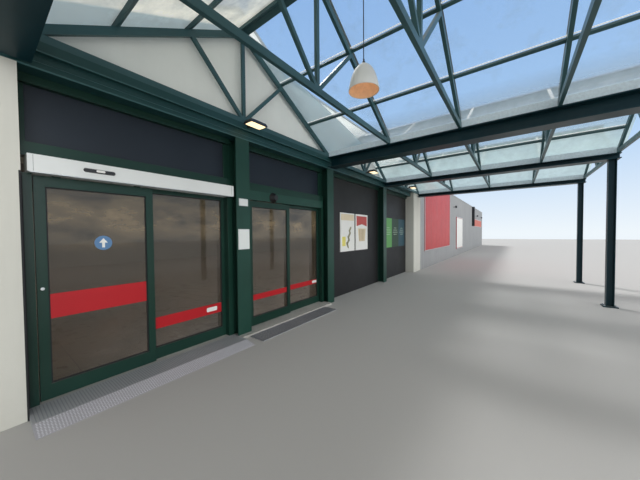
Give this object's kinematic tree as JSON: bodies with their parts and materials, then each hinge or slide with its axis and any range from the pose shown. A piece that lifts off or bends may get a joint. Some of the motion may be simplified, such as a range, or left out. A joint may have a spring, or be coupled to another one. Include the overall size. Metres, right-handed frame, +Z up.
{
  "type": "supermarket building",
  "caption": "Single-storey supermarket shell with two sliding entrance doors under a green steel canopy with gabled glass roofs on king-post trusses.",
  "frame": {"origin": "On the ground, on the centre line of the first doorway, 180 mm in front of the front wall.", "axes": "+X runs to the right along the front as seen from the street, +Y goes into the building, +Z is up."},
  "size_m": [38.36, 19.134, 4.9827],
  "materials": {
    "plaster": "matte",
    "concrete": "matte",
    "roofing": "matte",
    "capping": "satin",
    "steel": "satin",
    "door_paint": "satin",
    "glazing": "gloss",
    "fascia": "satin",
    "panel": "satin",
    "white_cover": "satin",
    "black": "satin",
    "tread": "satin",
    "poster": "satin",
    "plate": "satin",
    "shade": "satin",
    "red": "satin",
    "orange": "satin"
  },
  "bodies": {
    "building": {"floor": "concrete", "thresholds": "concrete", "front_walls": "plaster", "front_wall_over_doors": "plaster", "wing_wall": "plaster", "end_walls": "plaster", "back_wall": "plaster", "roof_slab": "roofing", "parapet_coping": "capping", "plaster_piers": "plaster", "gable_wall": "plaster", "gable_coping": "capping", "facade_columns": "steel", "header": "steel", "header_trims": "steel", "beams": "steel", "street_posts": "steel", "truss_chords": "steel", "truss_left_rafters": "steel", "truss_right_rafters": "steel", "truss_king_posts": "steel", "truss_left_braces": "steel", "truss_right_braces": "steel", "purlins": "steel", "roof_glass": "glazing", "ridge_caps": "capping", "gutters": "capping", "fascia_panels": "fascia", "bay_panels": "panel", "door_frames": "door_paint", "side_glass": "glazing", "operator_1": "white_cover", "operator_2": "door_paint", "door_sensors": "black", "ramps": "tread", "posters": "poster", "plates": "plate", "floodlights": "black", "pendant_lamp": "shade", "pendant_cable": "black", "wing_panels": "red", "wing_lamps": "black"},
    "door_1": {"door_1_leaf": "door_paint", "door_1_leaf_glass": "glazing"},
    "door_2": {"door_2_leaf": "door_paint", "door_2_leaf_glass": "glazing"}
  },
  "joints": [
    {"name": "door_1_slide", "type": "slide", "parent": "building", "child": "door_1", "axis": [1, 0, 0], "range_m": [0, 0.9]},
    {"name": "door_2_slide", "type": "slide", "parent": "building", "child": "door_2", "axis": [1, 0, 0], "range_m": [0, 0.9]}
  ]
}
